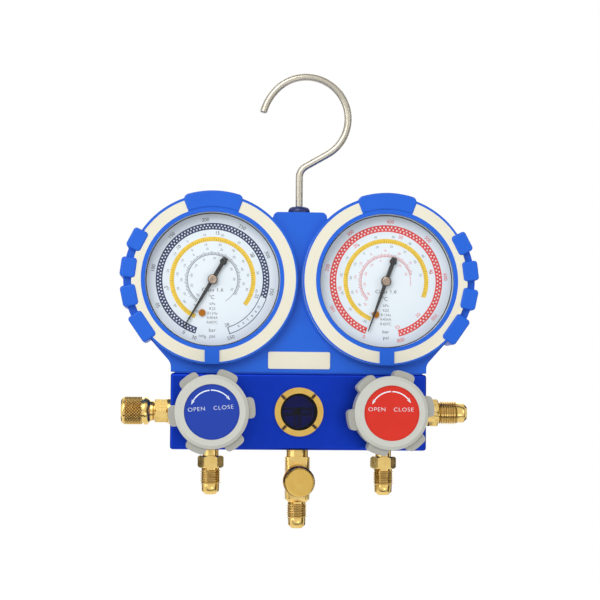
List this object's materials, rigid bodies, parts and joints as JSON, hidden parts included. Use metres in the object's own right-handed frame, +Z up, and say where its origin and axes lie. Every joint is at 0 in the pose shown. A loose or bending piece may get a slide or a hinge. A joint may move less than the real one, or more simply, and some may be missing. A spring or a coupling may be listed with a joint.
{
  "type": "refrigerant manifold gauge",
  "caption": "Two round pressure gauges in a moulded blue housing over a valve block with hand wheels, sight glass, brass flare ports and a swivelling hanging hook.",
  "frame": {"origin": "inside of the hook's crown, on the axis that the hook swivels about; the part hangs here", "axes": "+Z up, +X to the right of someone who reads the dials, the dials face -Y"},
  "size_m": [0.1938, 0.058, 0.2488],
  "materials": {
    "blue_anodised": "satin",
    "blue_plastic": "satin moulded",
    "glow_plastic": "matt cream",
    "brass": "machined",
    "steel": "brushed",
    "screw_steel": "black oxide",
    "case_steel": "black lacquer",
    "bourdon_brass": "drawn tube",
    "lens_plastic": "clear",
    "dial_low": "white lacquer, blue print",
    "dial_high": "white lacquer, red print",
    "pointer_black": "black lacquer",
    "knob_grey": "matt moulded",
    "label_blue": "printed",
    "label_red": "printed",
    "navy_plastic": "moulded",
    "seal_rubber": "matt",
    "sight_window": "clear"
  },
  "bodies": {
    "manifold": {"block_screws": "screw_steel", "centre_port": "brass", "front_core": "brass", "high_adjuster": "brass", "high_bonnet": "brass", "high_bourdon_tube": "bourdon_brass", "high_case": "case_steel", "high_dial": "dial_high", "high_glow_ring": "glow_plastic", "high_lens": "lens_plastic", "high_movement": "brass", "high_packing": "seal_rubber", "high_port": "brass", "high_stem": "brass", "hook_bush": "navy_plastic", "housing_back": "blue_plastic", "housing_front": "blue_plastic", "housing_screws": "screw_steel", "left_core": "brass", "left_port": "brass", "low_adjuster": "brass", "low_bonnet": "brass", "low_bourdon_tube": "bourdon_brass", "low_case": "case_steel", "low_dial": "dial_low", "low_glow_ring": "glow_plastic", "low_lens": "lens_plastic", "low_movement": "brass", "low_packing": "seal_rubber", "low_port": "brass", "low_stem": "brass", "manifold_block": "blue_anodised", "name_plate": "glow_plastic", "right_port": "brass", "sight_gasket": "seal_rubber", "sight_glass": "sight_window", "sight_ring": "brass"},
    "hook": {"hook": "steel", "hook_collar": "steel"},
    "left_cap": {"left_cap": "brass", "left_cap_seal": "seal_rubber"},
    "front_cap": {"front_cap": "brass", "front_cap_seal": "seal_rubber"},
    "low_spindle": {"low_spindle": "steel"},
    "low_knob": {"low_knob": "knob_grey", "low_knob_label": "label_blue", "low_knob_screw": "screw_steel"},
    "low_pointer": {"low_pointer": "pointer_black"},
    "low_sector": {"low_sector": "brass"},
    "low_link": {"low_link": "brass"},
    "high_spindle": {"high_spindle": "steel"},
    "high_knob": {"high_knob": "knob_grey", "high_knob_label": "label_red", "high_knob_screw": "screw_steel"},
    "high_pointer": {"high_pointer": "pointer_black"},
    "high_sector": {"high_sector": "brass"},
    "high_link": {"high_link": "brass"}
  },
  "joints": [
    {"name": "hook_swivel", "type": "hinge", "parent": "manifold", "child": "hook", "pos_m": [0, 0, -0.07356], "axis": [0, 0, 1], "continuous": true},
    {"name": "left_cap_off", "type": "slide", "parent": "manifold", "child": "left_cap", "axis": [-1, 0, 0], "range_m": [0, 0.03]},
    {"name": "front_cap_off", "type": "slide", "parent": "manifold", "child": "front_cap", "axis": [0, -1, 0], "range_m": [0, 0.03]},
    {"name": "low_spindle_travel", "type": "slide", "parent": "manifold", "child": "low_spindle", "axis": [0, -1, 0], "range_m": [0, 0.0019]},
    {"name": "low_knob_turn", "type": "hinge", "parent": "low_spindle", "child": "low_knob", "pos_m": [-0.047, -0.035, -0.18156], "axis": [0, -1, 0], "range_deg": [0, 540]},
    {"name": "low_pointer_turn", "type": "hinge", "parent": "manifold", "child": "low_pointer", "pos_m": [-0.047, -0.01, -0.11056], "axis": [0, 1, 0], "range_deg": [-13, 311]},
    {"name": "low_sector_turn", "type": "hinge", "parent": "manifold", "child": "low_sector", "pos_m": [-0.047, -0.002, -0.13056], "axis": [0, 1, 0], "range_deg": [-34.67, 1.56]},
    {"name": "low_link_turn", "type": "hinge", "parent": "low_sector", "child": "low_link", "pos_m": [-0.0415, -0.0036, -0.13637], "axis": [0, 1, 0], "range_deg": [-1.56, 34.67]},
    {"name": "high_spindle_travel", "type": "slide", "parent": "manifold", "child": "high_spindle", "axis": [0, -1, 0], "range_m": [0, 0.0019]},
    {"name": "high_knob_turn", "type": "hinge", "parent": "high_spindle", "child": "high_knob", "pos_m": [0.047, -0.035, -0.18156], "axis": [0, -1, 0], "range_deg": [0, 540]},
    {"name": "high_pointer_turn", "type": "hinge", "parent": "manifold", "child": "high_pointer", "pos_m": [0.047, -0.01, -0.11056], "axis": [0, 1, 0], "range_deg": [-2, 326]},
    {"name": "high_sector_turn", "type": "hinge", "parent": "manifold", "child": "high_sector", "pos_m": [0.047, -0.002, -0.13056], "axis": [0, 1, 0], "range_deg": [-36.33, 0.33]},
    {"name": "high_link_turn", "type": "hinge", "parent": "high_sector", "child": "high_link", "pos_m": [0.05235, -0.0036, -0.1365], "axis": [0, 1, 0], "range_deg": [-0.33, 36.33]}
  ],
  "couplings": [
    {"joint": "low_spindle_travel", "follows": "low_knob_turn", "m_per_rad": 0.00019894},
    {"joint": "low_sector_turn", "follows": "low_pointer_turn", "ratio": -0.11111},
    {"joint": "low_link_turn", "follows": "low_pointer_turn", "ratio": 0.11111},
    {"joint": "high_spindle_travel", "follows": "high_knob_turn", "m_per_rad": 0.00019894},
    {"joint": "high_sector_turn", "follows": "high_pointer_turn", "ratio": -0.11111},
    {"joint": "high_link_turn", "follows": "high_pointer_turn", "ratio": 0.11111}
  ]
}
